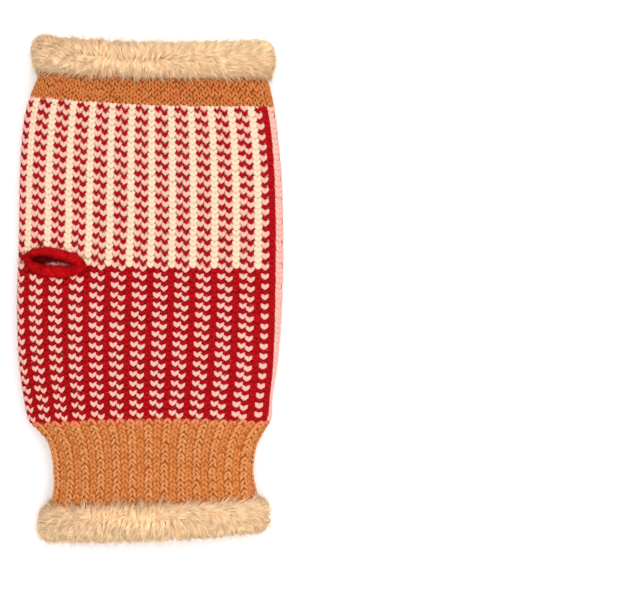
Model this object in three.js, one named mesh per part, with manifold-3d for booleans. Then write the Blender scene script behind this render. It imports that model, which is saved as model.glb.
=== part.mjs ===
// A knitted wrist warmer lying flat: a lined fingerless tube with a thumb slit and a plush trim at each mouth.
// Millimetres. +X across the hand, +Y from the wrist to the fingers, +Z up from the surface it lies on.
// The origin is under the middle of the warmer, on that surface.

import * as THREE from 'three';
import { mergeVertices } from 'three/addons/utils/BufferGeometryUtils.js';
import Module from 'manifold-3d';

const manifold = await Module();
manifold.setup();

// Driving sizes
const KNIT_WALL = 2.6;
const LINING_WALL = 2.4;
const SEAM_GAP = 0.3;
const SIDES = 40;
const TOP_ROUNDNESS = 2.4;
const UNDERSIDE_ROUNDNESS = 3.2;
const LEAN_SPAN = 50;

// Where one knitted section ends and the next begins, measured along the middle of the warmer
const FINGER_END = 92.0;
const BAND_EDGE = 77.9;
const COLOUR_CHANGE = 9.2;
const RIB_EDGE = -55.4;
const WRIST_END = -94.8;

// Where the walls' rings of corners stand between those ends
const RINGS = [-86, -76, -68, -61, -45, -28, -8, 30, 50, 66, 86];

// The plush trim's rolled section: half its thickness and half its height, and the middle of the roll
// measured outwards from the knit's face and onwards from the knit's end
const TRIM = { halfThick: 5.6, halfHeight: 9.2, outwards: 0.2, onwards: 5.0, arcSteps: 13 };

// The thumb slit, in plan: the middle line of its knitted edging, the section of that edging, and where
// the knit and the lining are cut, measured outwards from the middle line
const THUMB = {
  x: -39.2, y: 9.5, turn: -0.1,
  halfLength: 13.5, halfHeight: 4.5,
  lipHalfWidth: 1.9, lipHalfDepth: 2.0, lipDepth: 0.3,
  knitEdge: 2.3, liningEdge: -1.3,
  stepsRound: 28, stepsLip: 8,
};

const COLOURS = {
  camelWool: 0xc98549, creamWool: 0xf6dcc0, redWool: 0xb3101c, plush: 0xe6c494, fleece: 0xeccdb0,
};

// The knit's outer face at places along the warmer: its two side edges, and its highest and lowest points.
// A lowest point under 0 is pressed flat on the surface.
const OUTLINE = [
  { y: -110, left: -42.9, right: 46.9, top: 25.0, bottom: 2.8 },
  { y: -96, left: -42.9, right: 46.9, top: 25.0, bottom: 2.8 },
  { y: -88, left: -41.9, right: 45.7, top: 23.4, bottom: 2.2 },
  { y: -80, left: -41.7, right: 44.3, top: 22.4, bottom: 1.4 },
  { y: -68, left: -43.3, right: 45.5, top: 22.4, bottom: 0.4 },
  { y: -62, left: -46.2, right: 48.1, top: 22.8, bottom: -0.2 },
  { y: -55, left: -52.1, right: 52.6, top: 23.4, bottom: -0.6 },
  { y: -45, left: -54.5, right: 53.2, top: 23.8, bottom: -0.8 },
  { y: -30, left: -56.5, right: 55.5, top: 24.0, bottom: -0.8 },
  { y: -8, left: -57.35, right: 57.1, top: 24.2, bottom: -0.8 },
  { y: 20, left: -56.5, right: 57.3, top: 24.2, bottom: -0.8 },
  { y: 47, left: -56.0, right: 56.6, top: 24.2, bottom: -0.8 },
  { y: 68, left: -54.3, right: 54.7, top: 24.4, bottom: -0.4 },
  { y: 79, left: -52.0, right: 53.3, top: 24.8, bottom: 0.8 },
  { y: 86, left: -49.9, right: 51.4, top: 25.2, bottom: 2.0 },
  { y: 92, left: -47.3, right: 49.5, top: 25.5, bottom: 2.8 },
  { y: 106, left: -46.5, right: 49.1, top: 25.5, bottom: 2.8 },
];

// How far a row of stitches rises towards the right side (tilt) and towards both sides (bow)
const LEAN = [
  { y: -110, tilt: 2.0, bow: 1.6 },
  { y: -93, tilt: 1.5, bow: 0.4 },
  { y: -55, tilt: 0.4, bow: -1.7 },
  { y: -20, tilt: 0.1, bow: -1.2 },
  { y: 11, tilt: -1.1, bow: 0.6 },
  { y: 45, tilt: -1.8, bow: 1.8 },
  { y: 80, tilt: -1.9, bow: 2.0 },
  { y: 88, tilt: -1.2, bow: 2.6 },
  { y: 106, tilt: -1.3, bow: 2.8 },
];

// A table's column at y, on a smooth curve through the rows
function columnAt(table, column, y) {
  const last = table.length - 1;
  const inside = Math.min(Math.max(y, table[0].y), table[last].y);
  const at = Math.min(table.findLastIndex((row) => row.y <= inside), last - 1);
  const slope = (k) => {
    const before = table[Math.max(k - 1, 0)];
    const after = table[Math.min(k + 1, last)];
    return (after[column] - before[column]) / (after.y - before.y);
  };
  const [from, to] = [table[at], table[at + 1]];
  const span = to.y - from.y;
  const t = (inside - from.y) / span;
  return (2 * t ** 3 - 3 * t ** 2 + 1) * from[column] + (t ** 3 - 2 * t ** 2 + t) * span * slope(at)
    + (3 * t ** 2 - 2 * t ** 3) * to[column] + (t ** 3 - t ** 2) * span * slope(at + 1);
}

const signedPower = (value, power) => Math.sign(value) * Math.abs(value) ** power;

// The point at an angle round the tube, at y along it and at a depth under the knit's outer face
function pointAt(angle, y, depth) {
  const [left, right, top, bottom] = ['left', 'right', 'top', 'bottom'].map((c) => columnAt(OUTLINE, c, y));
  const power = 2 / (Math.sin(angle) > 0 ? TOP_ROUNDNESS : UNDERSIDE_ROUNDNESS);
  const across = ((right - left) / 2 - depth) * signedPower(Math.cos(angle), power);
  const up = ((top - bottom) / 2 - depth) * signedPower(Math.sin(angle), power);
  const x = (left + right) / 2 + across;
  const z = Math.max((top + bottom) / 2 + up, 0);
  return new THREE.Vector3(x, y + rise(x, y), z);
}

function rise(x, y) {
  return columnAt(LEAN, 'tilt', y) * (x / LEAN_SPAN) + columnAt(LEAN, 'bow', y) * (x / LEAN_SPAN) ** 2;
}

// The angle on the upper face whose point lies at x in plan
function angleAbove(x, y) {
  const [left, right] = ['left', 'right'].map((c) => columnAt(OUTLINE, c, y));
  const share = THREE.MathUtils.clamp((x - (left + right) / 2) / ((right - left) / 2), -1, 1);
  return Math.acos(signedPower(share, TOP_ROUNDNESS / 2));
}

// Moves each vertex of a geometry to where a function of its own position says
function reshaped(geometry, move) {
  const position = geometry.attributes.position;
  for (let i = 0; i < position.count; i += 1) {
    const moved = move(new THREE.Vector3().fromBufferAttribute(position, i));
    position.setXYZ(i, moved.x, moved.y, moved.z);
  }
  geometry.deleteAttribute('normal');
  geometry.deleteAttribute('uv');
  return mergeVertices(geometry, 1e-4);
}

// A round lathe of the profile, whose points are (depth, y), pressed to the warmer's flat section
const HUB = 100;
function ringFrom(profile) {
  const points = profile.map((p) => new THREE.Vector2(HUB - p.x, p.y));
  points.push(points[0].clone());
  const lathe = new THREE.LatheGeometry(points, SIDES);
  return reshaped(lathe, (v) => pointAt(Math.atan2(v.z, v.x), v.y, HUB - Math.hypot(v.x, v.z)));
}

// An open-ended tube between two depths, with a ring of corners at each of the given places
function tubeThrough(places, outerDepth, innerDepth) {
  const outside = places.map((y) => new THREE.Vector2(outerDepth, y));
  const inside = places.map((y) => new THREE.Vector2(innerDepth, y)).reverse();
  return ringFrom([...outside, ...inside]);
}

// A knitted section from one place to another, with the corners that every wall shares
function knitTube(from, to) {
  return tubeThrough([from, ...RINGS.filter((y) => y > from && y < to), to], 0, KNIT_WALL);
}

// Evenly spread values from one to another, both included
function spread(from, to, steps) {
  return Array.from({ length: steps + 1 }, (_, i) => THREE.MathUtils.lerp(from, to, i / steps));
}

// The plush roll that wraps a mouth's edge: onwards is +1 at the fingers and -1 at the wrist
function trimRing(knitEnd, onwards) {
  const across = (SEAM_GAP - TRIM.outwards) / TRIM.halfThick;
  const shelf = (SEAM_GAP - TRIM.onwards) / TRIM.halfHeight;
  const start = -Math.acos(across);
  const end = Math.PI - Math.asin(shelf);
  const roll = spread(start, end, TRIM.arcSteps).map((a) => new THREE.Vector2(
    TRIM.outwards + TRIM.halfThick * Math.cos(a), TRIM.onwards + TRIM.halfHeight * Math.sin(a)));
  roll.push(new THREE.Vector2(SEAM_GAP, SEAM_GAP));
  const profile = roll.map((p) => new THREE.Vector2(-p.x, knitEnd + onwards * p.y));
  return ringFrom(onwards > 0 ? profile : profile.reverse());
}

// A place on the warmer's upper face from the thumb slit's own plan coordinates
function thumbPoint(alongSlit, acrossSlit, depth) {
  const [c, s] = [Math.cos(THUMB.turn), Math.sin(THUMB.turn)];
  const x = THUMB.x + alongSlit * c - acrossSlit * s;
  const y = THUMB.y + alongSlit * s + acrossSlit * c;
  return pointAt(angleAbove(x, y), y, depth);
}

function thumbEdging() {
  const ring = 10;
  const torus = new THREE.TorusGeometry(ring, 1, THUMB.stepsLip, THUMB.stepsRound);
  return reshaped(torus, (v) => {
    const round = Math.atan2(v.y, v.x);
    const outwards = THUMB.lipHalfWidth * (Math.hypot(v.x, v.y) - ring);
    const along = (THUMB.halfLength + outwards) * Math.cos(round);
    const across = (THUMB.halfHeight + outwards) * Math.sin(round);
    return thumbPoint(along, across, THUMB.lipDepth - THUMB.lipHalfDepth * v.z);
  });
}

// The space that the slit takes from a wall, as wide as the edging's middle line plus a margin
function thumbPlug(margin, depth) {
  const disc = new THREE.CylinderGeometry(1, 1, 1, THUMB.stepsRound).rotateX(Math.PI / 2);
  return reshaped(disc, (v) => thumbPoint(
    (THUMB.halfLength + margin) * v.x, (THUMB.halfHeight + margin) * v.y, v.z > 0 ? -6 : depth));
}

function toSolid(geometry) {
  return new manifold.Manifold(new manifold.Mesh({
    numProp: 3,
    vertProperties: new Float32Array(geometry.attributes.position.array),
    triVerts: new Uint32Array(geometry.index.array),
  }));
}

function cutBy(geometry, tool) {
  const mesh = toSolid(geometry).subtract(toSolid(tool)).getMesh();
  const cut = new THREE.BufferGeometry();
  cut.setAttribute('position', new THREE.BufferAttribute(mesh.vertProperties, 3));
  cut.setIndex(new THREE.BufferAttribute(mesh.triVerts, 1));
  return cut;
}

function wool(colour) {
  return new THREE.MeshStandardMaterial({ color: colour, roughness: 0.95, metalness: 0 });
}

function piece(name, geometry, material) {
  const mesh = new THREE.Mesh(geometry, material);
  mesh.name = name;
  return mesh;
}

const halfGap = SEAM_GAP / 2;
const camel = wool(COLOURS.camelWool);
const plush = wool(COLOURS.plush);
const slitInKnit = thumbPlug(THUMB.knitEdge, KNIT_WALL + 2);
const slitInLining = thumbPlug(THUMB.liningEdge, KNIT_WALL + LINING_WALL + 3);

const warmer = new THREE.Group();

// Camel band in plain knitting, between the plush at the fingers and the patterned hand
warmer.add(piece('finger_band', knitTube(BAND_EDGE + halfGap, FINGER_END), camel));

// Patterned hand on a cream ground, down to the colour change, which the thumb slit crosses
const creamTube = knitTube(COLOUR_CHANGE + halfGap, BAND_EDGE - halfGap);
warmer.add(piece('cream_hand', cutBy(creamTube, slitInKnit), wool(COLOURS.creamWool)));

// The same pattern on a red ground, down to the rib
const redTube = knitTube(RIB_EDGE + halfGap, COLOUR_CHANGE - halfGap);
warmer.add(piece('red_hand', cutBy(redTube, slitInKnit), wool(COLOURS.redWool)));

// Camel ribbed cuff that draws in round the wrist
warmer.add(piece('wrist_rib', knitTube(WRIST_END, RIB_EDGE - halfGap), camel));

// Fleece lining, seen through the thumb slit and at both mouths
const everyRing = [WRIST_END, RIB_EDGE, COLOUR_CHANGE, BAND_EDGE, FINGER_END, ...RINGS].sort((a, b) => a - b);
const liningDepth = KNIT_WALL + SEAM_GAP;
const liningTube = tubeThrough(everyRing, liningDepth, liningDepth + LINING_WALL);
warmer.add(piece('lining', cutBy(liningTube, slitInLining), wool(COLOURS.fleece)));

warmer.add(piece('thumb_edging', thumbEdging(), wool(COLOURS.redWool)));
warmer.add(piece('finger_trim', trimRing(FINGER_END, 1), plush));
warmer.add(piece('wrist_trim', trimRing(WRIST_END, -1), plush));

export default warmer;
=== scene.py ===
# A knitted wrist warmer lying flat, with its yarn, plush and lining.
# Laid out as a Blender add-on and run as a script.

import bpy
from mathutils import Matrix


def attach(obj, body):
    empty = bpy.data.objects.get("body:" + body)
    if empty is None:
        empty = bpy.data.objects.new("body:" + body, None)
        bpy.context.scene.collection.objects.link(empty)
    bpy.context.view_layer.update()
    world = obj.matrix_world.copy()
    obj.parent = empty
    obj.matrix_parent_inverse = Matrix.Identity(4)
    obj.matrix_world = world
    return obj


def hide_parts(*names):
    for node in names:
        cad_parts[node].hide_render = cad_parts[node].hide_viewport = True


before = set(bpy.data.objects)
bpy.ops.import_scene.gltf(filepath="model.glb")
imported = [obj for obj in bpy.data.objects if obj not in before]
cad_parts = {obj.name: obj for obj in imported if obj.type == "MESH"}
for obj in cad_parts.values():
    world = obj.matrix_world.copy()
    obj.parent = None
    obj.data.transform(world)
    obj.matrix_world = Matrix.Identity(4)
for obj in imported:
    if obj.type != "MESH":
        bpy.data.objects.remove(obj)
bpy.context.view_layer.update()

import math

import bpy
import numpy as np
from bpy.props import FloatProperty, FloatVectorProperty, IntProperty, PointerProperty
from bpy.types import Operator, Panel, PropertyGroup

bl_info = {
    "name": "Knitted wrist warmer",
    "version": (1, 0, 0),
    "blender": (4, 5, 0),
    "location": "3D View > Sidebar > Warmer",
    "description": "Knits a lined wrist warmer with plush trims onto its packed model",
    "category": "Add Mesh",
}

# The script works in millimetres, and the scene in metres
MILLIMETRE, METRE = 0.001, 1000

# The knit's outer face. It follows the model's, but lies a little further in at the lower right edge.
# Place along the warmer, left edge, right edge, highest point, lowest point
OUTLINE = np.array([
    (-110, -42.9, 46.9, 25.0, 2.8),
    (-96, -42.9, 46.9, 25.0, 2.8),
    (-88, -41.9, 45.7, 23.4, 2.2),
    (-80, -41.7, 44.3, 22.4, 1.4),
    (-68, -43.3, 45.5, 22.4, 0.4),
    (-62, -46.2, 48.1, 22.8, -0.2),
    (-55, -52.1, 51.9, 23.4, -0.6),
    (-45, -54.5, 52.5, 23.8, -0.8),
    (-30, -56.5, 54.9, 24.0, -0.8),
    (-8, -57.35, 56.6, 24.2, -0.8),
    (20, -56.5, 57.3, 24.2, -0.8),
    (47, -56.0, 56.6, 24.2, -0.8),
    (68, -54.3, 54.7, 24.4, -0.4),
    (79, -51.4, 53.3, 24.8, 0.8),
    (86, -48.5, 51.4, 25.2, 2.0),
    (92, -46.3, 49.5, 25.5, 2.8),
    (106, -46.5, 49.1, 25.5, 2.8),
])
# How far a row rises towards the right side and towards both sides, at LEAN_SPAN from the middle:
# place along the warmer, tilt, bow
LEAN = np.array([
    (-110, 2.0, 1.6),
    (-93, 1.5, 0.4),
    (-55, 0.4, -1.7),
    (-20, 0.1, -1.2),
    (11, -1.1, 0.6),
    (45, -1.8, 1.8),
    (80, -1.9, 2.0),
    (88, -1.2, 2.6),
    (106, -1.3, 2.8),
])
LEAN_SPAN = 50
# How square the section's corners are: 2 is an ellipse
TOP_ROUNDNESS, UNDERSIDE_ROUNDNESS = 2.4, 3.2
# The knit's ends and the edges between its parts, along the warmer
FINGER_END, BAND_EDGE, COLOUR_CHANGE, RIB_EDGE, WRIST_END = 92.0, 77.9, 9.2, -55.4, -94.8
KNIT_WALL, LINING_WALL, SEAM_GAP = 2.6, 2.4, 0.3
# The heights of the plain tubes under the stitches, against the knit's outer face
BAND_GROUND, HAND_GROUND, RIB_GROUND = -1.1, -1.15, -0.85
# The least height above the floor of a path or a plain face, and of any point at all
FLOOR_CLEARANCE = 0.05
LOWEST_POINT = 0.4 * FLOOR_CLEARANCE

# The thumb slit's middle, its turn in radians and its middle line's half sizes
THUMB_X, THUMB_Y, THUMB_TURN = -39.2, 9.5, -0.1
THUMB_COS, THUMB_SIN = math.cos(THUMB_TURN), math.sin(THUMB_TURN)
THUMB_HALF_LENGTH, THUMB_HALF_HEIGHT = 13.5, 4.5
# How far the slit pushes stitches apart, where across the warmer that is most, how wide the push is
# across it and along it, and how soon it turns over at the slit
SLIT_PUSH, PUSH_X, PUSH_WIDTH, PUSH_LENGTH, PUSH_TURN = 2.9, -44, 17, 25, 3
# The slit's felted lips, plumper than the model's ring: their middle line's place and half sizes, how it
# narrows towards the right, and how deep it lies
LIP_ALONG, LIP_ACROSS, LIP_HALF_LENGTH, LIP_HALF_HEIGHT = -1.2, 0.3, 11.5, 3.85
LIP_TAPER, LIP_DEPTH = 0.12, 0.3
# The roll's half width and half depth, and how much fuller it is at the right end and at the lower lip
LIP_HALF_WIDTH, LIP_HALF_DEPTH, LIP_RIGHT_MORE, LIP_LOW_MORE = 2.1, 2.3, 0.35, 0.12

# How the wales lie on the upper side: place along the warmer, the middle wale's place across it,
# and how much wider wales are towards both sides and towards the right side
HAND_LAYOUT = np.array([
    (-49.5, -0.82, -0.17, 0.45),
    (-38.9, -0.46, -0.16, 0.34),
    (-21.9, 0.01, -0.08, 0.21),
    (-5.0, 0.59, -0.03, 0.12),
    (26.4, 1.57, 0.04, 0.08),
    (72.0, 1.57, 0.04, 0.07),
])
RIB_LAYOUT = np.array([(-95.0, 0.1, 0.0, 0.0), (-55.0, 0.1, 0.0, 0.0)])


def linear(red, green, blue):
    """A screen colour from 0 to 255 as the linear colour that shaders use."""
    shares = [channel / 255 for channel in (red, green, blue)]
    return tuple(s / 12.92 if s <= 0.04045 else ((s + 0.055) / 1.055) ** 2.4 for s in shares)


# The knit's shape

def smooth_columns(table, y):
    """The table's columns at y, on smooth curves through its rows."""
    places, values = table[:, 0], table[:, 1:]
    before = np.maximum(np.arange(len(places)) - 1, 0)
    after = np.minimum(np.arange(len(places)) + 1, len(places) - 1)
    slopes = (values[after] - values[before]) / (places[after] - places[before])[:, None]
    y = np.clip(y, places[0], places[-1])
    at = np.clip(np.searchsorted(places, y, side="right") - 1, 0, len(places) - 2)
    span = (places[at + 1] - places[at])[..., None]
    t = (y - places[at])[..., None] / span
    return ((2 * t**3 - 3 * t**2 + 1) * values[at] + (t**3 - 2 * t**2 + t) * span * slopes[at]
            + (3 * t**2 - 2 * t**3) * values[at + 1] + (t**3 - t**2) * span * slopes[at + 1])


def signed_power(value, power):
    return np.sign(value) * np.abs(value) ** power


def face_point(angle, y):
    """The point on the knit's outer face at an angle round the tube and y along it."""
    angle, y = np.broadcast_arrays(angle, np.asarray(y, float))
    left, right, top, bottom = np.moveaxis(smooth_columns(OUTLINE, y), -1, 0)
    power = 2 / np.where(np.sin(angle) > 0, TOP_ROUNDNESS, UNDERSIDE_ROUNDNESS)
    x = (left + right) / 2 + (right - left) / 2 * signed_power(np.cos(angle), power)
    z = (top + bottom) / 2 + (top - bottom) / 2 * signed_power(np.sin(angle), power)
    tilt, bow = np.moveaxis(smooth_columns(LEAN, y), -1, 0)
    lift = tilt * x / LEAN_SPAN + bow * (x / LEAN_SPAN) ** 2
    return np.stack([x, y + lift, np.maximum(z, 0)], -1)


def unit(vectors):
    return vectors / np.maximum(np.linalg.norm(vectors, axis=-1, keepdims=True), 1e-9)


class KnitFace:
    """The knit's outer face, laid out in wales round it and in millimetres along it.

    Wale 0 runs down the middle of the upper side, and wales count up towards the right.
    """

    # Grid columns to a wale, steps round a section, and how much of its height counts as width
    CELLS = 4
    STEPS = 1440
    SIDE_STRETCH = 0.7

    def __init__(self, wales, layout):
        self.wales = wales
        self.places = np.arange(-120.0, 120.5, 1.0)
        turn = np.linspace(0, 2 * math.pi, self.STEPS + 1)
        outline = face_point(math.pi - turn[None], self.places[:, None])
        across, steps = outline[..., 0], np.diff(outline, axis=1)
        edges = across.min(1, keepdims=True) + across.max(1, keepdims=True)
        share = (across[:, 1:] + across[:, :-1] - edges) / np.ptp(across, axis=1)[:, None]
        middle, widening, right_widening = (
            np.interp(self.places, layout[:, 0], column)[:, None] for column in layout.T[1:])
        lengths = np.hypot(steps[..., 0], self.SIDE_STRETCH * steps[..., 2])
        lengths /= 1 + widening * share**2 + right_widening * np.maximum(share, 0) ** 2
        lengths = np.concatenate([np.zeros((len(lengths), 1)), lengths.cumsum(1)], 1)
        columns = np.arange(wales * self.CELLS) / self.CELLS
        upper = slice(self.STEPS // 2 + 1)
        turns = []
        for x, length, middle_x in zip(across, lengths, middle):
            first = np.interp(middle_x[0], x[upper], length[upper])
            wanted = (first + columns * length[-1] / wales) % length[-1]
            turns.append(np.interp(wanted, length, turn))
        self.points = face_point(math.pi - np.array(turns), self.places[:, None])
        around = (np.roll(self.points, -1, 1) - np.roll(self.points, 1, 1)) * self.CELLS / 2
        self.widths = np.linalg.norm(around, axis=-1)
        self.outs = unit(np.cross(around, np.gradient(self.points, axis=0)))

    def read(self, values, wale, y):
        """A grid's values at wales and places between its own."""
        wale, y = np.broadcast_arrays(np.asarray(wale, float), np.asarray(y, float))
        column = np.mod(wale, self.wales) * self.CELLS
        first = np.floor(column).astype(int)
        row = np.clip(y - self.places[0], 0, len(self.places) - 1.001)
        low = np.floor(row).astype(int)
        u, v = column - first, row - low
        if values.ndim > 2:
            u, v = u[..., None], v[..., None]
        first, second = first % values.shape[1], (first + 1) % values.shape[1]
        upper = (1 - u) * values[low, first] + u * values[low, second]
        lower = (1 - u) * values[low + 1, first] + u * values[low + 1, second]
        return (1 - v) * upper + v * lower

    def out(self, wale, y):
        return unit(self.read(self.outs, wale, y))

    def width(self, wale, y):
        return self.read(self.widths, wale, y)

    def at(self, wale, y, height):
        """The point that stands a height above the knit's outer face."""
        point = self.read(self.points, wale, y) + self.out(wale, y) * np.asarray(height)[..., None]
        point[..., 2] = np.maximum(point[..., 2], FLOOR_CLEARANCE)
        return point


def thumb_place(x, y):
    """A plan place as distances along and across the thumb slit."""
    x, y = x - THUMB_X, y - THUMB_Y
    return x * THUMB_COS + y * THUMB_SIN, y * THUMB_COS - x * THUMB_SIN


def thumb_point(along, across, depth):
    """The point a depth below the upper side at distances along and across the thumb slit."""
    x = THUMB_X + along * THUMB_COS - across * THUMB_SIN
    y = THUMB_Y + along * THUMB_SIN + across * THUMB_COS
    left, right = np.moveaxis(smooth_columns(OUTLINE, y), -1, 0)[:2]
    share = np.clip((x - (left + right) / 2) / ((right - left) / 2), -1, 1)
    point = face_point(np.arccos(signed_power(share, TOP_ROUNDNESS / 2)), y)
    return np.concatenate([point[..., :2], point[..., 2:] - np.asarray(depth)[..., None]], -1)


def in_thumb_slit(face, wale, y, margin):
    """Whether places on the knit lie within the slit's middle line plus a margin."""
    point = face.read(face.points, wale, y)
    along, across = thumb_place(point[..., 0], np.broadcast_to(y, point.shape[:-1]))
    inside = np.hypot(along / (THUMB_HALF_LENGTH + margin), across / (THUMB_HALF_HEIGHT + margin)) < 1
    return inside & (face.out(wale, y)[..., 2] > 0)


def slit_push(face, wale, y):
    """How far the thumb slit pushes the upper side's stitches apart, along the warmer."""
    x = face.read(face.points, wale, y)[..., 0]
    above = np.clip(0.5 + face.out(wale, y)[..., 2], 0, 1)
    reach = np.exp(-((x - PUSH_X) / PUSH_WIDTH) ** 2 - np.abs(y - THUMB_Y) / PUSH_LENGTH)
    return SLIT_PUSH * above * reach * np.tanh((y - THUMB_Y) / PUSH_TURN)


# Mesh making

def tubes(centres, outs, across, deep, sides, pointed=False):
    """Points and faces of closed tubes round many paths at once.

    centres and outs are (paths, rings, 3); across and deep are the radii at each ring.
    """
    paths, rings = centres.shape[:2]
    along = unit(np.gradient(centres, axis=1))
    side = unit(np.cross(along, outs))
    up = np.cross(side, along)
    turn = 2 * math.pi * (np.arange(sides) + 0.5) / sides
    wide = side[:, :, None] * (np.cos(turn) * across[..., None])[..., None]
    tall = up[:, :, None] * (np.sin(turn) * deep[..., None])[..., None]
    points = (centres[:, :, None] + wide + tall).reshape(paths, rings * sides, 3)
    body_rings = rings - 1 if pointed else rings
    ring, step = np.meshgrid(np.arange(body_rings - 1), np.arange(sides), indexing="ij")
    here, beside = ring * sides + step, ring * sides + (step + 1) % sides
    quads = np.stack([here, here + sides, beside + sides, beside], -1).reshape(-1, 4)
    corners = [quads, np.arange(sides)[None]]
    if pointed:
        points = points[:, : body_rings * sides + 1]
        points[:, -1] = centres[:, -1]
        last = (body_rings - 1) * sides + np.arange(sides)
        tip = np.full(sides, body_rings * sides)
        corners.append(np.stack([last, tip, np.roll(last, -1)], -1))
    else:
        corners.append(((rings - 1) * sides + np.arange(sides)[::-1])[None])
    offsets = np.arange(paths)[:, None, None] * points.shape[1]
    faces = [(c[None] + offsets).reshape(-1, c.shape[1]) for c in corners]
    return points.reshape(-1, 3), faces


def loose_fibres(points, outs, rng, length=1.4, width=0.13):
    """Short stray fibres that lie loosely on a surface."""
    count = len(points)
    heading = unit(np.cross(outs, rng.normal(0, 1, (count, 3))))[:, None]
    outs = np.repeat(outs[:, None], 3, 1)
    least, most = [[0.5], [-0.5], [0.1]], [[1.3], [0.5], [0.6]]
    size, bend, rise = rng.uniform(least, most, (3, count))[..., None, None]
    s = np.array([0.0, 0.5, 1.0])[None, :, None]
    lie = heading * s + np.cross(outs, heading) * bend * s**2 + outs * rise * s * (1.6 - s)
    centres = points[:, None] + length * size * lie
    centres[..., 2] = np.maximum(centres[..., 2], FLOOR_CLEARANCE)
    radius = width / 2 * np.tile([1.0, 0.9, 0.3], (count, 1))
    return tubes(centres, outs, radius, radius, 3, pointed=True)


def soft_noise(rng, cells, places):
    """Smooth random values from -1 to 1 at places counted in cells, closing after the last cell."""
    values = rng.uniform(-1, 1, cells)
    low = np.floor(places).astype(int)
    t = places - low
    t = t * t * (3 - 2 * t)
    return (1 - t) * values[low % cells] + t * values[(low + 1) % cells]


def joined(parts):
    """Several (points, faces) as one."""
    points, faces, count = [], [], 0
    for part_points, part_faces in parts:
        points.append(part_points)
        faces.extend(f + count for f in part_faces)
        count += len(part_points)
    return np.concatenate(points), faces


def closed_shell(outer, inner, quads):
    """A sheet's two faces as one closed solid, walled along every free edge."""
    count = len(outer)
    edges = np.stack([quads, np.roll(quads, -1, 1)], -1).reshape(-1, 2)
    keys, reverse = edges[:, 0] * count + edges[:, 1], edges[:, 1] * count + edges[:, 0]
    free = edges[~np.isin(keys, reverse)]
    walls = np.stack([free[:, 1], free[:, 0], free[:, 0] + count, free[:, 1] + count], -1)
    return np.concatenate([outer, inner]), [quads, quads[:, ::-1] + count, walls]


def ring_quads(rows, columns):
    """Faces of a grid that closes round its columns, seen from outside."""
    row, column = np.meshgrid(np.arange(rows - 1), np.arange(columns), indexing="ij")
    here, beside = row * columns + column, row * columns + (column + 1) % columns
    return np.stack([here, beside, beside + columns, here + columns], -1).reshape(-1, 4)


def placed(name, data):
    """A new object in the scene."""
    thing = bpy.data.objects.new(name, data)
    bpy.context.scene.collection.objects.link(thing)
    return thing


def new_piece(name, shape, material, node=None):
    """Makes a piece from its points and faces, riding on the warmer's body."""
    points, faces = shape
    if not len(points):
        raise RuntimeError(f"{name} came out empty")
    points = np.concatenate([points[:, :2], np.maximum(points[:, 2:], LOWEST_POINT)], 1)
    mesh = bpy.data.meshes.new(name)
    used, renumbered = np.unique(np.concatenate([f.ravel() for f in faces]), return_inverse=True)
    sizes = np.concatenate([np.full(len(f), f.shape[1]) for f in faces])
    mesh.vertices.add(len(used))
    mesh.vertices.foreach_set("co", (points[used] * MILLIMETRE).astype(np.float32).ravel())
    mesh.loops.add(len(renumbered))
    mesh.loops.foreach_set("vertex_index", renumbered.astype(np.int32))
    mesh.polygons.add(len(sizes))
    mesh.polygons.foreach_set("loop_start", (np.cumsum(sizes) - sizes).astype(np.int32))
    mesh.polygons.foreach_set("use_smooth", np.ones(len(sizes), bool))
    mesh.update(calc_edges=True)
    mesh.validate()
    mesh.materials.append(material)
    piece = placed(name, mesh)
    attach(piece, "root")
    if node:
        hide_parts(node)


# Finishes

# A Mix node's sockets by number, because their names repeat
FACTOR, NUMBER_A, NUMBER_B, COLOUR_A, COLOUR_B = 0, 2, 3, 6, 7
MIXED_NUMBER, MIXED_COLOUR = 0, 2
# How much of the unevenness comes from single fibres
FIBRE_SHARE = 0.35


def add_node(tree, kind, inputs=None, **settings):
    """Adds a node, sets its properties, and sets or links its inputs."""
    node = tree.nodes.new(kind)
    for key, value in settings.items():
        setattr(node, key, value)
    for key, value in (inputs or {}).items():
        if isinstance(value, bpy.types.NodeSocket):
            tree.links.new(value, node.inputs[key])
        else:
            node.inputs[key].default_value = value
    return node


def new_group(name, inputs, outputs):
    """An empty shader node group with named sockets, and its input and output nodes."""
    group = bpy.data.node_groups.new(name, "ShaderNodeTree")
    for title, kind, value in inputs:
        socket = group.interface.new_socket(title, in_out="INPUT", socket_type=kind)
        socket.default_value = value
    for title, kind in outputs:
        group.interface.new_socket(title, in_out="OUTPUT", socket_type=kind)
    return group, group.nodes.new("NodeGroupInput"), group.nodes.new("NodeGroupOutput")


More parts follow.
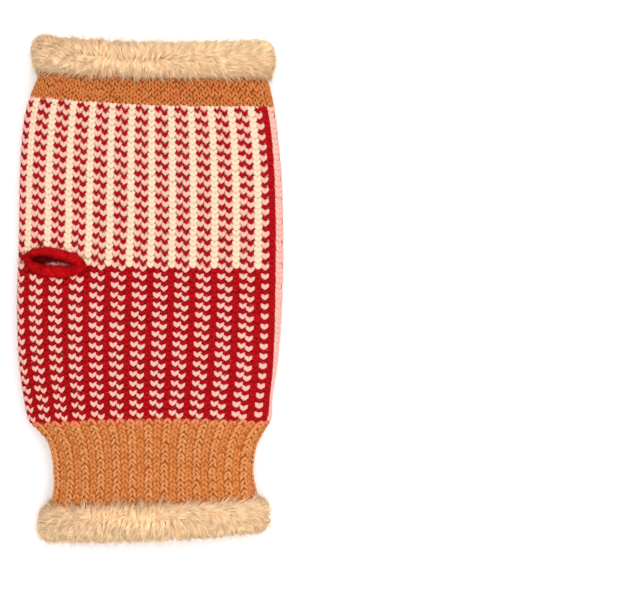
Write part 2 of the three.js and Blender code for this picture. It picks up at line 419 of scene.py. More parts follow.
def fibre_group():
    """Soft unevenness of dye and light, and the fine relief of loose fibres."""
    group, given, made = new_group(
        "Loose fibres",
        [("Colour", "NodeSocketColor", (0.8, 0.8, 0.8, 1)), ("Shade", "NodeSocketColor", (0.5, 0.5, 0.5, 1)),
         ("Shade amount", "NodeSocketFloat", 0.5), ("Patch scale", "NodeSocketFloat", 300.0),
         ("Fibre scale", "NodeSocketFloat", 2500.0)],
        [("Colour", "NodeSocketColor"), ("Relief", "NodeSocketFloat"), ("Roughness", "NodeSocketFloat")])
    place = add_node(group, "ShaderNodeTexCoord").outputs["Object"]
    patches = add_node(group, "ShaderNodeTexNoise", {
        "Vector": place, "Scale": given.outputs["Patch scale"], "Detail": 3.0, "Roughness": 0.6})
    fibres = add_node(group, "ShaderNodeTexNoise", {
        "Vector": place, "Scale": given.outputs["Fibre scale"], "Detail": 2.0, "Distortion": 1.5})
    both = add_node(group, "ShaderNodeMix", {
        FACTOR: FIBRE_SHARE, NUMBER_A: patches.outputs["Fac"], NUMBER_B: fibres.outputs["Fac"]},
        data_type="FLOAT")
    spread = add_node(group, "ShaderNodeMapRange", {
        "Value": both.outputs[MIXED_NUMBER], "From Min": 0.36, "From Max": 0.66})
    share = add_node(group, "ShaderNodeMath", {
        0: spread.outputs["Result"], 1: given.outputs["Shade amount"]}, operation="MULTIPLY")
    colour = add_node(group, "ShaderNodeMix", {
        FACTOR: share.outputs[0], COLOUR_A: given.outputs["Colour"], COLOUR_B: given.outputs["Shade"]},
        data_type="RGBA")
    rough = add_node(group, "ShaderNodeMapRange", {
        "Value": fibres.outputs["Fac"], "To Min": 0.8, "To Max": 1.0})
    group.links.new(colour.outputs[MIXED_COLOUR], made.inputs["Colour"])
    group.links.new(fibres.outputs["Fac"], made.inputs["Relief"])
    group.links.new(rough.outputs["Result"], made.inputs["Roughness"])
    return group


def fibre_material(name, colour, shade, amount=0.5, patch=300.0, fibre=2500.0, relief=0.13, sheen=0.1):
    """Wool or pile: the loose fibres' colour and relief, with a soft sheen."""
    if name in bpy.data.materials:
        return bpy.data.materials[name]
    group = bpy.data.node_groups.get("Loose fibres") or fibre_group()
    material = bpy.data.materials.new(name)
    material.use_nodes = True
    tree = material.node_tree
    shader = tree.nodes["Principled BSDF"]
    fibres = add_node(tree, "ShaderNodeGroup", node_tree=group)
    for key, value in (("Colour", (*colour, 1)), ("Shade", (*shade, 1)), ("Shade amount", amount),
                       ("Patch scale", patch), ("Fibre scale", fibre)):
        fibres.inputs[key].default_value = value
    bump = add_node(tree, "ShaderNodeBump", {
        "Height": fibres.outputs["Relief"], "Strength": relief, "Distance": 0.0006})
    tree.links.new(fibres.outputs["Colour"], shader.inputs["Base Color"])
    tree.links.new(fibres.outputs["Roughness"], shader.inputs["Roughness"])
    tree.links.new(bump.outputs["Normal"], shader.inputs["Normal"])
    shader.inputs["Sheen Weight"].default_value = sheen
    shader.inputs["Sheen Roughness"].default_value = 0.5
    shader.inputs["Sheen Tint"].default_value = (*colour, 1)
    shader.inputs["Specular IOR Level"].default_value = 0.08
    return material


# What a user may change

class WarmerKnit(PropertyGroup):
    hand_wales: IntProperty(name="Hand wales", description="Stitches round the hand", default=79, min=40)
    cream_rows: IntProperty(name="Cream rows", description="Rows on the cream ground", default=30, min=4)
    red_rows: IntProperty(name="Red rows", description="Rows on the red ground", default=31, min=4)
    band_rows: IntProperty(name="Band rows", description="Rows in the camel finger band", default=7, min=1)
    ribs: IntProperty(name="Ribs", description="Raised wales round the wrist", default=27, min=8)
    rib_rows: IntProperty(name="Rib rows", description="Rows in the ribbed cuff", default=19, min=4)
    fullness: FloatProperty(name="Yarn fullness", description="Yarn's width against the stitch's",
                            default=1.0, min=0.5, max=1.5, subtype="FACTOR")
    unevenness: FloatProperty(name="Unevenness", description="How much stitches differ from one another",
                              default=0.5, min=0.0, max=1.0, subtype="FACTOR")


class WarmerPlush(PropertyGroup):
    hairs: IntProperty(name="Hairs", description="Hairs on each plush trim", default=17000, min=100)
    hair_length: FloatProperty(name="Hair length", description="Length of the plush trims' hair",
                               default=0.0095, min=0.002, max=0.03, unit="LENGTH", precision=4)
    hair_width: FloatProperty(name="Hair width", description="Width of a lock of hair at its root",
                              default=0.00042, min=0.0001, max=0.002, unit="LENGTH", precision=5)
    clumping: FloatProperty(name="Clumping", description="How far the tips of a tuft draw together",
                            default=0.6, min=0.0, max=1.0, subtype="FACTOR")


def colour_property(name, description, *screen):
    return FloatVectorProperty(name=name, description=description, default=linear(*screen),
                               subtype="COLOR", size=3, min=0.0, max=1.0)


class WarmerColours(PropertyGroup):
    cream: colour_property("Cream yarn", "Solid cream wales", 221, 193, 168)
    cream_tinted: colour_property("Cream beside red", "Cream stitches with red fuzz on them", 224, 174, 161)
    red: colour_property("Red yarn", "Red stitches of both grounds", 180, 9, 17)
    camel: colour_property("Camel yarn", "Finger band and ribbed cuff", 215, 154, 99)
    plush: colour_property("Plush", "Hair of both trims", 255, 225, 184)
    fleece: colour_property("Fleece", "Lining", 228, 198, 176)


class WarmerStage(PropertyGroup):
    floor: colour_property("Floor", "The floor that the warmer lies on", 252, 252, 252)
    room_light: FloatProperty(name="Room light", description="Strength of the even light",
                              default=0.71, min=0.0)
    key_light: FloatProperty(name="Key light", description="Power of the soft light above the right side",
                             default=23.6, min=0.0, unit="POWER")


# Knitting

# A stitch's leg from its lowest point to where it dips under the next row:
# across in wales, along in rows, height in millimetres, half width in wales, half thickness in millimetres
LEG = np.array([
    (-0.04, -0.70, -0.72, 0.07, 0.22),
    (0.07, -0.36, -0.56, 0.19, 0.50),
    (0.27, 0.06, -0.58, 0.26, 0.58),
    (0.52, 0.52, -1.00, 0.11, 0.36),
])
# The same leg where a whole wale is of one colour and its stitches merge
SOLID_LEG = np.array([
    (-0.06, -0.60, -0.60, 0.20, 0.40),
    (0.10, -0.28, -0.55, 0.31, 0.44),
    (0.28, 0.08, -0.56, 0.32, 0.44),
    (0.46, 0.46, -0.68, 0.25, 0.40),
])
# The same leg in the camel parts, which are knitted from the other end: it runs steeply down from the
# stitch's top, and small holes show where legs meet
CAMEL_LEG = np.array([
    (0.01, 0.52, -0.78, 0.11, 0.32),
    (0.15, 0.12, -0.50, 0.20, 0.46),
    (0.35, -0.44, -0.54, 0.20, 0.46),
    (0.50, -0.85, -0.92, 0.11, 0.32),
])
YARN_SIDES = 5
# How much an uneven stitch's lean, place across in wales, place along in rows and fullness vary
LEAN_VARIES, ACROSS_VARIES, ALONG_VARIES, FULLNESS_VARIES = 0.035, 0.04, 0.08, 0.09
# The camel yarn's unevenness against the hand's, and the band's fullness against the rib's
CAMEL_UNEVENNESS, BAND_FULLNESS = 2.2, 1.06
# The heights of the rib's raised and recessed wales
RAISED, RECESSED = 0.3, -0.45

# How many rows higher the wales lie: each solid one, then the two to the right of it
STRIPE_SHIFTS = (0, -0.21, 0.2)
# The last wale of the stripes at the right side, and the wales beyond it: solid red, cream,
# or cream flecked with red in every fourth row
LAST_STRIPED_WALE = 16
SIDE_WALES = ((17, "red"), (18, "cream"), (19, "flecked"), (20, "red"))


def every_stitch(wales, rows):
    """The wale and the row of each stitch."""
    return [numbers.ravel() for numbers in np.meshgrid(np.arange(wales), np.arange(rows))]


def stitches(face, wale, y, pitch, fullness, lift, rng, unevenness, path=LEG):
    """A plump length of yarn for each leg of each stitch."""
    across, along, height, half_width, half_depth = path.T
    count = len(wale)
    lean, sideways, onwards, fuller = (unevenness * rng.normal(0, 1, (4, count)))[..., None]
    width = face.width(wale, y)[:, None]
    swell = fullness * (1 + FULLNESS_VARIES * fuller)
    parts = []
    for hand in (-1, 1):
        w = wale[:, None] + hand * across + LEAN_VARIES * lean * (along + 0.5) + ACROSS_VARIES * sideways
        v = y[:, None] + pitch * (along + ALONG_VARIES * onwards)
        parts.append(tubes(face.at(w, v, height + lift + 0 * v), face.out(w, v), half_width * width * swell,
                           half_depth * swell * np.ones((count, 1)), YARN_SIDES))
    return joined(parts)


def fibres_on(face, wale, y, pitch, count, rng, height=-0.4):
    """Stray fibres on randomly chosen stitches."""
    chosen = rng.integers(0, len(wale), count)
    w = wale[chosen] + rng.uniform(-0.45, 0.45, count)
    v = y[chosen] + pitch * rng.uniform(-0.5, 0.5, count)
    return loose_fibres(face.at(w, v, np.full(count, height)), face.out(w, v), rng)


def chart(wale, row, cream_rows, wales):
    """The hand's chart: which stitches are red, which are in a solid wale, and how many rows higher each is.

    Every third wale is solid, and the two between them change colour row by row.
    """
    member = np.where(wale <= LAST_STRIPED_WALE, wale, wale - wales) % 3
    solid = member == 0
    red = np.where(solid, row >= cream_rows, (row + member) % 2 == 1)
    high = np.choose(member, STRIPE_SHIFTS)
    for place, kind in SIDE_WALES:
        here = wale == place
        red = np.where(here, row % 4 == 1 if kind == "flecked" else kind == "red", red)
        solid = np.where(here, kind == "red", solid)
        high = np.where(here, 0, high)
    return red.astype(bool), solid, high


def shell_piece(name, face, places, height_out, height_in, material,
                node=None, hole=None, per_wale=1):
    """Makes a plain tube under the stitches, cut by the thumb slit if hole, the cut's margin, is given."""
    columns = np.arange(face.wales * per_wale) / per_wale
    wale, y = (grid.ravel() for grid in np.meshgrid(columns, places))
    outer, inner = face.at(wale, y, height_out), face.at(wale, y, height_in)
    quads = ring_quads(len(places), len(columns))
    if hole is not None:
        inside = in_thumb_slit(face, wale, y, hole)
        cut = inside[quads].any(1)
        rim = np.unique(quads[cut][~inside[quads[cut]]])
        rim = rim[np.isin(rim, quads[~cut])]
        quads = quads[~cut]
        along, across = thumb_place(face.read(face.points, wale[rim], y[rim])[..., 0], y[rim])
        shrink = 1 / np.hypot(along / (THUMB_HALF_LENGTH + hole), across / (THUMB_HALF_HEIGHT + hole))
        for shell, height in ((outer, height_out), (inner, height_in)):
            shell[rim] = thumb_point(along * shrink, across * shrink, np.full(len(rim), -height))
    new_piece(name, closed_shell(outer, inner, quads), material, node)


def camel_materials(colours, title="Camel yarn", tone=(1.0, 1.0, 1.0)):
    """The camel yarn in a tone of its colour, and a darker copy of it, painted shade for where the yarn lies
    deep.
    """
    tones = [tuple(channel * share for channel, share in zip(colour, tone))
             for colour in (colours.camel, linear(180, 86, 22), linear(176, 92, 30), linear(142, 62, 12))]
    return (fibre_material(title, *tones[:2], amount=1.0, patch=1000.0, relief=0.2),
            fibre_material(f"{title}, shaded", *tones[2:]))


class WARMER_OT_finger_band(Operator):
    """Knits the camel band below the finger trim"""
    bl_idname = "warmer.finger_band"
    bl_label = "Finger band"

    def execute(self, context):
        knit, colours = context.scene.warmer_knit, context.scene.warmer_colours
        rng = np.random.default_rng(11)
        face = KnitFace(knit.hand_wales, HAND_LAYOUT)
        # The band is the same camel yarn as the rib, toned darker and deeper as painted shade; its ground
        # takes the shaded copy, painted shade in the gaps.
        camel, under = camel_materials(colours, "Camel yarn, band", tone=(0.88, 0.73, 0.61))
        pitch = (FINGER_END - BAND_EDGE) / knit.band_rows
        wale, row = every_stitch(knit.hand_wales, knit.band_rows)
        y = BAND_EDGE + (row + 0.5) * pitch
        knitted = stitches(face, wale, y, pitch, BAND_FULLNESS * knit.fullness, 0.0, rng,
                           CAMEL_UNEVENNESS * knit.unevenness, CAMEL_LEG)
        new_piece("finger_band_knit", knitted, camel, "finger_band")
        new_piece("finger_band_fibres", fibres_on(face, wale, y, pitch, 400, rng), camel)
        shell_piece("finger_band_ground", face, np.linspace(BAND_EDGE, FINGER_END, 5), BAND_GROUND,
                    -KNIT_WALL, under)
        return {"FINISHED"}


class WARMER_OT_patterned_hand(Operator):
    """Knits the two-colour hand, on its cream and its red ground"""
    bl_idname = "warmer.patterned_hand"
    bl_label = "Patterned hand"

    def execute(self, context):
        knit, colours = context.scene.warmer_knit, context.scene.warmer_colours
        rng = np.random.default_rng(12)
        face = KnitFace(knit.hand_wales, HAND_LAYOUT)
        cream = fibre_material("Cream yarn", colours.cream, linear(238, 200, 166), patch=700.0)
        tinted = fibre_material("Cream yarn beside red", colours.cream_tinted, linear(230, 148, 136),
                                patch=700.0)
        red = fibre_material("Red yarn", colours.red, linear(112, 0, 6), amount=0.9, patch=900.0)
        zones = (("cream_hand", BAND_EDGE, COLOUR_CHANGE, 0, knit.cream_rows, "cream_wool"),
                 ("red_hand", COLOUR_CHANGE, RIB_EDGE, knit.cream_rows, knit.red_rows, "red_wool"))
        for node, start, end, first_row, rows, slot in zones:
            pitch = (start - end) / rows
            wale, row = every_stitch(knit.hand_wales, rows)
            is_red, solid, high = chart(wale, row + first_row, knit.cream_rows, knit.hand_wales)
            y = start + (high - row - 0.5) * pitch
            y += slit_push(face, wale, y)
            kept = ~in_thumb_slit(face, wale, y, margin=0.4)
            # Title, stitches, material, the yarn's fullness and height, slot, number of fibres
            groups = (("cream", ~is_red & solid, cream, 1.13, 0.0, "cream_wool", 600),
                      ("cream_tinted", ~is_red & ~solid, tinted, 1.22, 0.1, "cream_wool", 650),
                      ("red", is_red, red, 1.0, -0.1, "red_wool", 1000))
            for title, chosen, material, yarn, lift, own_slot, fibres in groups:
                chosen = chosen & kept
                if not chosen.any():
                    continue
                parts = [stitches(face, wale[kind], y[kind], pitch, yarn * knit.fullness, lift, rng,
                                  knit.unevenness, leg)
                         for kind, leg in ((chosen & solid, SOLID_LEG), (chosen & ~solid, LEG)) if kind.any()]
                new_piece(f"{node}_{title}_stitches", joined(parts), material,
                          node if own_slot == slot else None)
                loose = fibres_on(face, wale[chosen], y[chosen], pitch, fibres, rng)
                new_piece(f"{node}_{title}_fibres", loose, material)
            under = cream if first_row == 0 else red
            shell_piece(f"{node}_ground", face, np.linspace(end, start, rows + 1), HAND_GROUND, -KNIT_WALL,
                        under, hole=-0.3)
        return {"FINISHED"}


class WARMER_OT_wrist_rib(Operator):
    """Knits the camel ribbed cuff, whose wales are raised and lie back by turns"""
    bl_idname = "warmer.wrist_rib"
    bl_label = "Wrist rib"

    def execute(self, context):
        knit, colours = context.scene.warmer_knit, context.scene.warmer_colours
        rng = np.random.default_rng(13)
        face = KnitFace(knit.ribs * 2, RIB_LAYOUT)
        # The rib's ground takes the darker shaded copy, painted shade between the stitches.
        camel, under = camel_materials(colours)
        pitch = (RIB_EDGE - WRIST_END) / knit.rib_rows
        wale, row = every_stitch(face.wales, knit.rib_rows)
        y = RIB_EDGE - (row + 0.5) * pitch
        raised = wale % 2 == 0
        lift = np.where(raised, RAISED, RECESSED)[:, None]
        beside_red = fibre_material("Camel yarn beside red", linear(218, 140, 98), linear(196, 92, 60),
                                    amount=1.0, patch=1000.0)
        # The recessed wales take a darker tone of the camel yarn, painted shade in the rib's hollows.
        recessed = camel_materials(colours, "Camel yarn, recessed, painted shade", tone=(0.93, 0.88, 0.82))[0]
        groups = (("first_row", row == 0, beside_red), ("knit", (row > 0) & raised, camel),
                  ("recessed_knit", (row > 0) & ~raised, recessed))
        for title, chosen, material in groups:
            knitted = stitches(face, wale[chosen], y[chosen], pitch, knit.fullness, lift[chosen], rng,
                               CAMEL_UNEVENNESS * knit.unevenness, CAMEL_LEG)
            new_piece(f"wrist_rib_{title}", knitted, material, "wrist_rib")
        loose = fibres_on(face, wale, y, pitch, 900, rng, height=-0.7)
        new_piece("wrist_rib_fibres", loose, camel)
        shell_piece("wrist_rib_ground", face, np.linspace(WRIST_END, RIB_EDGE, knit.rib_rows), RIB_GROUND,
                    -KNIT_WALL, under, per_wale=2)
        return {"FINISHED"}


def full_turn(steps):
    """Angles at even steps round a circle."""
    return np.arange(steps) * 2 * math.pi / steps


def slit_roll(along, across, depth, radius, middle, half_length, thinnest, uneven=1.0):
    """A roll of cloth in the thumb slit, which thins towards its ends: its middle line, radii and shape."""
    centres = thumb_point(along, across, np.full(len(along), depth))[None]
    plump = np.sqrt(np.clip(1 - ((along - middle) / half_length) ** 2, thinnest, 1)) * uneven
    radii = radius * plump[None]
    return centres, radii, tubes(centres, np.broadcast_to((0.0, 0.0, 1.0), centres.shape), radii, radii, 12)


class WARMER_OT_thumb_edging(Operator):
    """Makes the red felted edging round the thumb slit"""
    bl_idname = "warmer.thumb_edging"
    bl_label = "Thumb edging"

    def execute(self, context):
        rng = np.random.default_rng(14)
        felt = {"amount": 0.8, "patch": 700.0, "fibre": 2200.0, "relief": 0.25}
        red = fibre_material("Red felted yarn", linear(198, 10, 15), linear(126, 0, 5), **felt)
        # The deep felt is a near-black red, painted shadow for the dark opening of the slit.
        shadow_felt = fibre_material("Red felted yarn, painted shadow", linear(96, 0, 5), linear(48, 0, 3), **felt)
        turn, section = np.meshgrid(full_turn(200), full_turn(24), indexing="ij")
        # Lumps of three sizes: how many there are round the slit, how far they wind, how much they swell
        swell = 1.0
        for cells, sway, share in ((13, 0.5, 0.07), (31, 1.1, 0.08), (67, 2.3, 0.06)):
            lumps = turn * cells / (2 * math.pi) + sway * np.sin(section + cells)
            swell = swell + share * soft_noise(rng, cells, lumps)
        fuller = 1 + LIP_RIGHT_MORE * np.cos(turn) - LIP_LOW_MORE * np.sin(turn)
        outwards = LIP_HALF_WIDTH * swell * fuller * np.cos(section)
        across = (LIP_HALF_HEIGHT + outwards) * np.sin(turn) * (1 - LIP_TAPER * np.cos(turn))
        points = thumb_point(LIP_ALONG + (LIP_HALF_LENGTH + outwards) * np.cos(turn), LIP_ACROSS + across,
                             LIP_DEPTH - LIP_HALF_DEPTH * swell * np.sin(section))
        here = np.arange(turn.size).reshape(turn.shape)
        beside, ahead = np.roll(here, -1, 1), np.roll(here, -1, 0)
        quads = np.stack([here, ahead, np.roll(ahead, -1, 1), beside], -1).reshape(-1, 4)
        # A dark felt roll deep under the left part of the slit, which paints the shadow in the opening.
        along = np.linspace(-13.0, 3.0, 24)
        *_, facing = slit_roll(along, LIP_ACROSS + 0.9 + 0.07 * along, depth=5.0, radius=2.6,
                               middle=-6.5, half_length=9.8, thinnest=0.03)
        new_piece("thumb_edging_felt", (points.reshape(-1, 3), [quads]), red, "thumb_edging")
        new_piece("thumb_edging_shadow_facing", facing, shadow_felt, "thumb_edging")
        outs = unit(np.cross(np.roll(points, -1, 0) - points, np.roll(points, -1, 1) - points)).reshape(-1, 3)
        chosen = rng.integers(0, len(outs), 2100)
        loose = loose_fibres(points.reshape(-1, 3)[chosen], outs[chosen], rng, length=1.9, width=0.15)
        new_piece("thumb_edging_fibres", loose, red)
        return {"FINISHED"}


class WARMER_OT_lining(Operator):
    """Makes the fleece lining"""
    bl_idname = "warmer.lining"
    bl_label = "Lining"

    def execute(self, context):
        knit, colours = context.scene.warmer_knit, context.scene.warmer_colours
        rng = np.random.default_rng(15)
        face = KnitFace(knit.hand_wales, HAND_LAYOUT)
        fleece = fibre_material("Fleece", colours.fleece, linear(222, 172, 138),
                                amount=0.9, patch=500.0, fibre=900.0, relief=1.0)
        tinted = fibre_material("Fleece beside red", linear(246, 190, 170), linear(214, 110, 96),
                                amount=0.7, patch=500.0, fibre=1500.0, relief=0.5)
        top = -KNIT_WALL - SEAM_GAP
        beyond = 3.0
        shell_piece("lining_fleece", face, np.linspace(WRIST_END - beyond, FINGER_END + beyond, 70),
                    top, top - LINING_WALL, fleece, "lining", hole=-1.3)

        rings, count = 26, 500
        along = np.linspace(-4.5, 11.2, rings)
        uneven = 1 + 0.15 * rng.normal(0, 1, rings)
        centres, radii, roll = slit_roll(along, -1.5 + 0.02 * along, depth=2.6, radius=1.5, middle=3.35,
                                         half_length=8.2, thinnest=0.02, uneven=uneven)
        at = rng.uniform(0.5, rings - 1.5, count)
        root = np.stack([np.interp(at, np.arange(rings), centres[0, :, i]) for i in range(3)], -1)
        lean = unit(np.stack([rng.normal(0.2, 0.5, count), rng.normal(0.2, 0.6, count), np.ones(count)], -1))
        root += lean * np.interp(at, np.arange(rings), radii[0])[:, None]
        edge = joined([roll, loose_fibres(root, lean, rng, length=1.8, width=0.22)])
        new_piece("lining_edge", edge, tinted)

        count, inwards = 1500, 16
        wale = rng.uniform(0, face.wales, count)
        at_wrist = rng.random(count) < 0.5
        wrist_y = WRIST_END - rng.uniform(-inwards, beyond, count)
        finger_y = FINGER_END + rng.uniform(-inwards, beyond, count)
        y = np.where(at_wrist, wrist_y, finger_y)
        root = face.at(wale, y, np.full(count, top - LINING_WALL))
        pile = loose_fibres(root, -face.out(wale, y), rng, length=2.2, width=0.3)
        new_piece("lining_pile", pile, fleece)
        return {"FINISHED"}


# Plush

# The lie of the hair on each trim's upper side, in plan: place across the warmer, place beyond the knit's
# end, and the angle, 0 towards the right and 90 away from the knit
FINGER_GUIDES = np.array([
    (-48, 7.4, 166), (-40, 10.0, 145), (-48, 1.4, -180), (-42, 4.7, 171), (-45, -2.9, -145),
    (-38, 6.9, 147), (-37, 0.3, -135), (-29, 8.2, 108), (-29, -1.5, -110), (-18, 8.6, 84),
    (-18, -1.5, -96), (-6, 9.3, 81), (-6, -0.9, -90), (5, 9.6, 69), (6, -1.4, -84), (17, 9.6, 51),
    (18, 6.2, 6), (18, -0.5, -70), (27, 10.2, 43), (28, 5.1, -6), (27, -1.6, -53), (38, 10.6, 39),
    (38, 4.6, -9), (38, -1.3, -41), (49, 9.8, 37), (50, 3.7, 0), (49, -2.4, -37),
])
WRIST_GUIDES = np.array([
    (-44, -2.6, -150), (-44, 1.6, 174), (-44, 7.5, 139), (-37, -3.9, -120), (-38, 1.6, 156),
    (-37, 7.5, 131), (-30, -3.9, -99), (-30, 3.3, 135), (-28, 8.4, 108), (-21, -4.2, -79), (-21, 6.0, 104),
    (-11, -1.9, -66), (-11, 7.0, 102), (0, -3.6, -96), (-1, 6.5, 117), (9, 6.9, 102), (10, -1.5, -66),
    (17, 0.5, 6), (19, 6.5, 76), (25, 1.8, 45), (26, 7.8, 72), (28, -1.4, -19), (34, 4.1, 57),
    (38, 0.1, -7), (39, 7.0, 60), (45, -2.7, -30), (49, 0.9, 3), (48, 6.8, 37),
])
# How far a guide reaches across and along
GUIDE_WIDTH, GUIDE_LENGTH = 7, 2.6
# The trim's rolled section: its middle and half sizes outwards and onwards
ROLL_OUT, ROLL_HALF_HEIGHT, ROLL_ON, ROLL_HALF_LENGTH = 0.2, 5.6, 5.0, 7.9
ROLL_START, ROLL_STOP = -1.3, 3.35
# The woven base under the hairs: its two faces' heights, and how deep and wide it sinks at the crest
BASE_TOP, BASE_UNDER, PARTING_DEPTH, PARTING_WIDTH = -2.0, -3.6, 1.2, 1.5
# Where hairs start, along the section from the top of the roll
NEAREST_HAIR, FARTHEST_HAIR = -8.8, 17.0
# The grid of tufts: its steps in wales and along the section, its first place and its rows
TUFT_ACROSS, TUFT_ALONG, TUFT_START, TUFT_ROWS = 0.5, 3.5, -12, 16
# A wale's width at the trims
TRIM_WALE = 2.95
# The shares of hairs on the upper side, of stray hairs and of hairs that part at the crest
UPPER_SHARE, STRAY_SHARE, PARTED_SHARE = 0.7, 0.2, 0.85
# The first and last wale of the upper hairs, and the first of the lower ones
UPPER_FIRST, UPPER_LAST, LOWER_FIRST = -22, 23, 20
# How far before its place a hair is rooted, how far it may hang over the skirt, and its least reach
ROOTED_BACK, OVERHANG, LEAST_REACH = 2.4, 3.5, 2.0
# A hair's height and its share of the full width at its root, middle and tip
HAIR_HEIGHTS, HAIR_TAPER = np.array([-2.6, -1.1, -0.4]), np.array([1.0, 0.95, 0.1])
# The lift from which a hair counts as raised; hairs below it take the darker shaded plush, painted shade of
# their depth in the pile
RAISED_FROM = -0.25


def trim_profile():
    """The trim's section from the skirt that lies on the knit, over the roll, to inside the mouth.

    Rows of outwards and onwards places, their directions out of the pile, and the length along the section,
    which is 0 at the top of the roll.
    """
    turn = np.linspace(ROLL_START, ROLL_STOP, 90)
    outwards, onwards = ROLL_OUT + ROLL_HALF_HEIGHT * np.cos(turn), ROLL_ON + ROLL_HALF_LENGTH * np.sin(turn)
    roll = np.stack([outwards, onwards], -1)
    skirt = np.array([(0.5, -8.0), (0.7, -6.6), (1.2, -5.0)])
    line = np.concatenate([skirt, roll])
    along = unit(np.gradient(line, axis=0))
    out = np.stack([along[:, 1], -along[:, 0]], -1)
    length = np.concatenate([[0], np.linalg.norm(np.diff(line, axis=0), axis=1).cumsum()])
    crest = np.interp(0.0, turn, length[len(skirt):])
    return line, out, length - crest


def trim_points(face, end, onwards, wale, length, height):
    """Points by wale, length along the trim's section and height above it."""
    line, out, lengths = trim_profile()
    place = [np.interp(length, lengths, line[:, i]) for i in (0, 1)]
    lean = [np.interp(length, lengths, out[:, i]) for i in (0, 1)]
    return face.at(wale, end + onwards * (place[1] + lean[1] * height), place[0] + lean[0] * height)


def lie_of_hair(guides, x, beyond):
    """The direction of the hair in plan, blended from the nearest guides."""
    guide_x, guide_beyond, angle = guides.T
    across = (x[:, None] - guide_x) / GUIDE_WIDTH
    along = (beyond[:, None] - guide_beyond) / GUIDE_LENGTH
    near = np.exp(-across**2 / 2 - along**2 / 2) + 1e-9
    return np.stack([near @ np.cos(np.radians(angle)), near @ np.sin(np.radians(angle))], -1)


def trim_hairs(face, end, onwards, guides, plush, rng):
    """The raised and the deep hairs of one trim.

    They lie in tufts that follow the guides above and point away from the crest below.
    """
    wales, count = face.wales, plush.hairs
    above = rng.random(count) < UPPER_SHARE
    upper_wale = rng.uniform(UPPER_FIRST, UPPER_LAST, count)
    lower_wale = rng.uniform(LOWER_FIRST, wales - LOWER_FIRST, count)
    wale = np.where(above, upper_wale, lower_wale) % wales
    length = rng.uniform(NEAREST_HAIR, FARTHEST_HAIR, count)
    cells = rng.normal(0, 1, (5, int(wales / TUFT_ACROSS) + 1, TUFT_ROWS))
    column = (wale / TUFT_ACROSS).astype(int)
    row = ((length - TUFT_START) / TUFT_ALONG + 0.5 * (column % 2)).astype(int)
    row = np.clip(row, 0, TUFT_ROWS - 1)
    longer, turned, higher, shifted, curled = cells[:, column, row]
    middle_wale = (column + 0.5 + 0.3 * shifted) * TUFT_ACROSS
    middle_length = (row + 0.5 - 0.5 * (column % 2)) * TUFT_ALONG + TUFT_START

    line, _, lengths = trim_profile()
    middle = trim_points(face, end, onwards, middle_wale, middle_length, np.zeros(count))
    guided = lie_of_hair(guides, middle[:, 0], np.interp(middle_length, lengths, line[:, 1]))
    plain = np.stack([0 * length, np.sign(length)], -1)
    upper = np.clip(0.5 + 1.5 * face.out(middle_wale, np.full(count, end))[:, 2], 0, 1)[:, None]
    lie = upper * unit(guided) + (1 - upper) * plain
    stray = rng.random(count) < STRAY_SHARE
    angle = np.arctan2(lie[:, 1], lie[:, 0]) + 0.2 * turned
    angle = angle + np.where(stray, 0.5, 0.1) * rng.normal(0, 1, count)
    reach = plush.hair_length * METRE * (0.85 + 0.15 * longer) * rng.uniform(0.75, 1.1, count)
    room = (length - NEAREST_HAIR + OVERHANG + 1.2 * higher) / np.maximum(-np.sin(angle), 0.05)
    reach = np.minimum(reach, np.maximum(room, LEAST_REACH))

    back = ROOTED_BACK * rng.uniform(0.4, 1.3, count)
    wale = wale - back * np.cos(angle) / TRIM_WALE
    root = np.maximum(length - back * np.sin(angle), NEAREST_HAIR)
    parted = (rng.random(count) < PARTED_SHARE) & (root * length < 0)
    length = np.where(parted, 0.15 * np.sign(length), root)

    s = np.array([0.0, 0.5, 1.0])
    heading = angle[:, None] + 0.35 * curled[:, None] * s
    step = reach[:, None] * np.diff(s, prepend=0)
    pull = plush.clumping * s**1.5
    to_middle_wale, to_middle_length = (middle_wale - wale)[:, None], (middle_length - length)[:, None]
    hair_wale = wale[:, None] + (np.cos(heading) * step).cumsum(1) / TRIM_WALE + pull * to_middle_wale
    hair_length = length[:, None] + (np.sin(heading) * step).cumsum(1) + 0.3 * pull * to_middle_length
    own = rng.normal(0, 1, count)
    lift = 0.35 * higher + np.where(stray, 1.9 * np.abs(own), 0.45 * own)
    height = HAIR_HEIGHTS + lift[:, None] * s**1.5
    centres = trim_points(face, end, onwards, hair_wale, hair_length, height)
    outs = face.out(hair_wale, np.full_like(hair_wale, end))
    thick = np.where(stray, 0.5, 1.0) * rng.uniform(0.7, 1.2, count)
    radius = plush.hair_width * METRE / 2 * HAIR_TAPER * thick[:, None]
    raised = own > RAISED_FROM
    return [tubes(centres[group], outs[group], radius[group], radius[group], 3, pointed=True)
            for group in (raised, ~raised)]


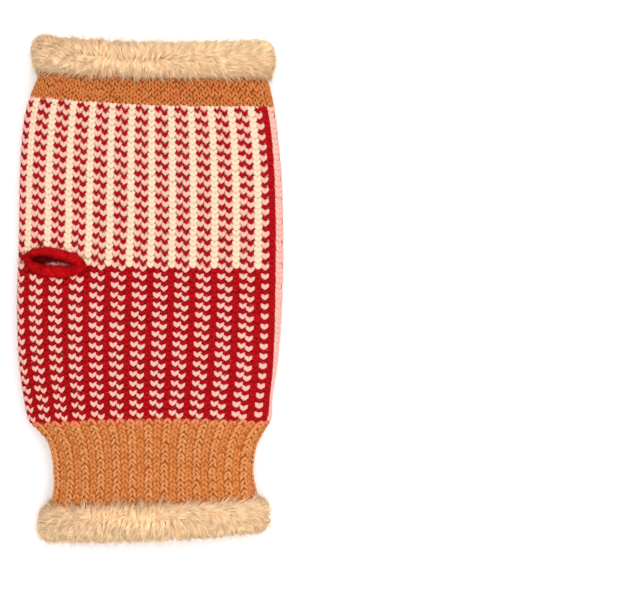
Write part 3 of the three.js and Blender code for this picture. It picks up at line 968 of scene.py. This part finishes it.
class WARMER_OT_plush_trims(Operator):
    """Makes the plush trims round both mouths, hair by hair"""
    bl_idname = "warmer.plush_trims"
    bl_label = "Plush trims"

    def execute(self, context):
        knit, colours = context.scene.warmer_knit, context.scene.warmer_colours
        plush = context.scene.warmer_plush
        face = KnitFace(knit.hand_wales, HAND_LAYOUT)
        glossy = {"patch": 350.0, "fibre": 1200.0, "relief": 0.07, "sheen": 0.4}
        hair = fibre_material("Plush", colours.plush, linear(254, 214, 168), amount=0.6, **glossy)
        # A darker copy of the plush for the lower hairs, painted shade of their depth in the pile.
        shaded = fibre_material("Plush, shaded", linear(252, 216, 172), linear(246, 200, 150),
                                amount=0.7, **glossy)
        # The woven base takes a darker plush, painted shade under the hair.
        under = fibre_material("Plush base, painted shade", linear(246, 206, 156), linear(234, 186, 134), amount=0.6)
        skirt, crest, roll = np.linspace(-10, -2.5, 8), np.linspace(-1.8, 1.8, 7), np.linspace(2.6, 19.5, 16)
        lengths = np.concatenate([skirt, crest, roll])
        wale, length = (grid.ravel() for grid in np.meshgrid(np.arange(face.wales), lengths))
        parting = PARTING_DEPTH * np.exp(-(length / PARTING_WIDTH) ** 2)
        quads = ring_quads(len(lengths), face.wales)
        for title, end, onwards, guides, seed in (("finger_trim", FINGER_END, 1, FINGER_GUIDES, 21),
                                                  ("wrist_trim", WRIST_END, -1, WRIST_GUIDES, 22)):
            outer = trim_points(face, end, onwards, wale, length, BASE_TOP - parting)
            inner = trim_points(face, end, onwards, wale, length, BASE_UNDER - parting)
            base = closed_shell(outer, inner, quads if onwards > 0 else quads[:, ::-1])
            new_piece(f"{title}_pile_base", base, under, title)
            raised, deep = trim_hairs(face, end, onwards, guides, plush, np.random.default_rng(seed))
            new_piece(f"{title}_hair", raised, hair, title)
            new_piece(f"{title}_deep_hair", deep, shaded, title)
        return {"FINISHED"}


# Stage

class WARMER_OT_stage(Operator):
    """Lays the pale floor, lights the room and sets the camera above"""
    bl_idname = "warmer.stage"
    bl_label = "Stage"

    def execute(self, context):
        scene, stage = context.scene, context.scene.warmer_stage
        scene.view_settings.view_transform = "Standard"
        scene.view_settings.look = "None"
        mesh = bpy.data.meshes.new("floor")
        half = 2.5
        corners = [(-half, -half, 0), (half, -half, 0), (half, half, 0), (-half, half, 0)]
        mesh.from_pydata(corners, [], [(0, 1, 2, 3)])
        floor = placed("floor", mesh)
        mesh.materials.append(fibre_material("Pale floor", stage.floor, linear(246, 246, 246),
                                             amount=0.3, patch=6.0, fibre=60.0, relief=0.0, sheen=0.0))

        world = bpy.data.worlds.new("Room")
        world.use_nodes = True
        background = world.node_tree.nodes["Background"]
        background.inputs["Color"].default_value = (1, 1, 1, 1)
        background.inputs["Strength"].default_value = stage.room_light
        scene.world = world
        light = bpy.data.lights.new("key", "AREA")
        light.energy, light.size = stage.key_light, 1.6
        lamp = placed("key", light)
        lamp.location = (0.30, 0.12, 1.38)
        lamp.rotation_euler = (-lamp.location).to_track_quat("-Z", "Y").to_euler()

        camera = bpy.data.cameras.new("camera")
        camera.sensor_width, camera.lens = 36.0, 119.7
        camera.clip_start, camera.clip_end = 0.05, 10.0
        eye = placed("camera", camera)
        eye.location = (0.0690, -0.00667, 0.9)
        scene.camera = eye
        return {"FINISHED"}


class WARMER_PT_panel(Panel):
    """Lists the warmer's pieces and sizes"""
    bl_label = "Wrist warmer"
    bl_idname = "WARMER_PT_panel"
    bl_space_type = "VIEW_3D"
    bl_region_type = "UI"
    bl_category = "Warmer"

    def draw(self, context):
        for operator in OPERATORS:
            self.layout.operator(operator.bl_idname)
        for title in SETTINGS:
            box = self.layout.box()
            settings = getattr(context.scene, title)
            for key in settings.__annotations__:
                box.prop(settings, key)


OPERATORS = (WARMER_OT_finger_band, WARMER_OT_patterned_hand, WARMER_OT_wrist_rib, WARMER_OT_thumb_edging,
             WARMER_OT_lining, WARMER_OT_plush_trims, WARMER_OT_stage)
SETTINGS = {"warmer_knit": WarmerKnit, "warmer_plush": WarmerPlush,
            "warmer_colours": WarmerColours, "warmer_stage": WarmerStage}


def register():
    for kind in (*SETTINGS.values(), *OPERATORS, WARMER_PT_panel):
        bpy.utils.register_class(kind)
    for title, kind in SETTINGS.items():
        setattr(bpy.types.Scene, title, PointerProperty(type=kind))


def unregister():
    for title in SETTINGS:
        delattr(bpy.types.Scene, title)
    for kind in reversed((*SETTINGS.values(), *OPERATORS, WARMER_PT_panel)):
        bpy.utils.unregister_class(kind)


def main():
    register()
    bpy.ops.warmer.finger_band()
    bpy.ops.warmer.patterned_hand()
    bpy.ops.warmer.wrist_rib()
    bpy.ops.warmer.thumb_edging()
    bpy.ops.warmer.lining()
    bpy.ops.warmer.plush_trims()
    bpy.ops.warmer.stage()


if __name__ == "__main__":
    main()
